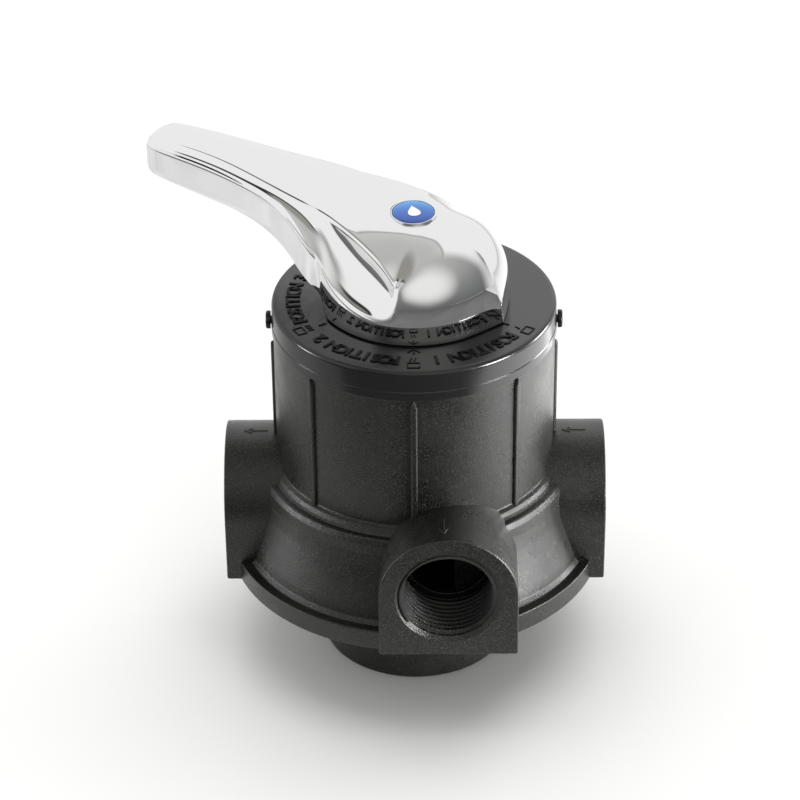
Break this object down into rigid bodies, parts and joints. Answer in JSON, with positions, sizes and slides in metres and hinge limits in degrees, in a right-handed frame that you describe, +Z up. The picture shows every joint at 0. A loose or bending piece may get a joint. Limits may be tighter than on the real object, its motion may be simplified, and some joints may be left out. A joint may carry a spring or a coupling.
{
  "type": "multiport valve",
  "caption": "Manual multiport filter control valve: ribbed round body with threaded side and front ports, flanged tank neck and a chrome lever on top.",
  "frame": {"origin": "on the valve's axis, at the bottom end plane of the threaded tank neck", "axes": "+Z up along the valve's axis towards the handle, +X towards the right-hand port, -Y towards the front port"},
  "size_m": [0.1647, 0.1378, 0.1834],
  "materials": {
    "black_plastic": "satin, fine grain",
    "cap_plastic": "satin",
    "grey_plastic": "satin",
    "white_plastic": "satin",
    "black_screw": "black oxide",
    "rubber": "moulded",
    "ceramic": "lapped",
    "steel": "machined",
    "brass": "turned",
    "chrome": "mirror polish",
    "blue_plastic": "domed resin"
  },
  "bodies": {
    "valve": {"valve_body": "black_plastic", "cap": "cap_plastic", "cap_o_ring": "rubber", "lock_screw_left": "black_screw", "lock_screw_right": "black_screw", "disc_gasket": "rubber", "fixed_disc": "ceramic", "friction_washer": "white_plastic", "stem_bush": "white_plastic", "tank_o_ring": "rubber", "riser_o_ring": "rubber", "riser_collar": "white_plastic"},
    "lever": {"handle": "chrome", "badge": "blue_plastic", "handle_screw": "steel", "screw_washer": "steel", "moving_seat": "grey_plastic", "seat_insert": "brass", "stem_o_ring_lower": "rubber", "stem_o_ring_upper": "rubber", "moving_disc": "ceramic", "drive_pin_90": "steel", "drive_pin_210": "steel", "drive_pin_330": "steel"}
  },
  "joints": [
    {"name": "lever_turn", "type": "hinge", "parent": "valve", "child": "lever", "pos_m": [0, 0, 0.1424], "axis": [0, 0, 1], "range_deg": [-120, 0]}
  ]
}
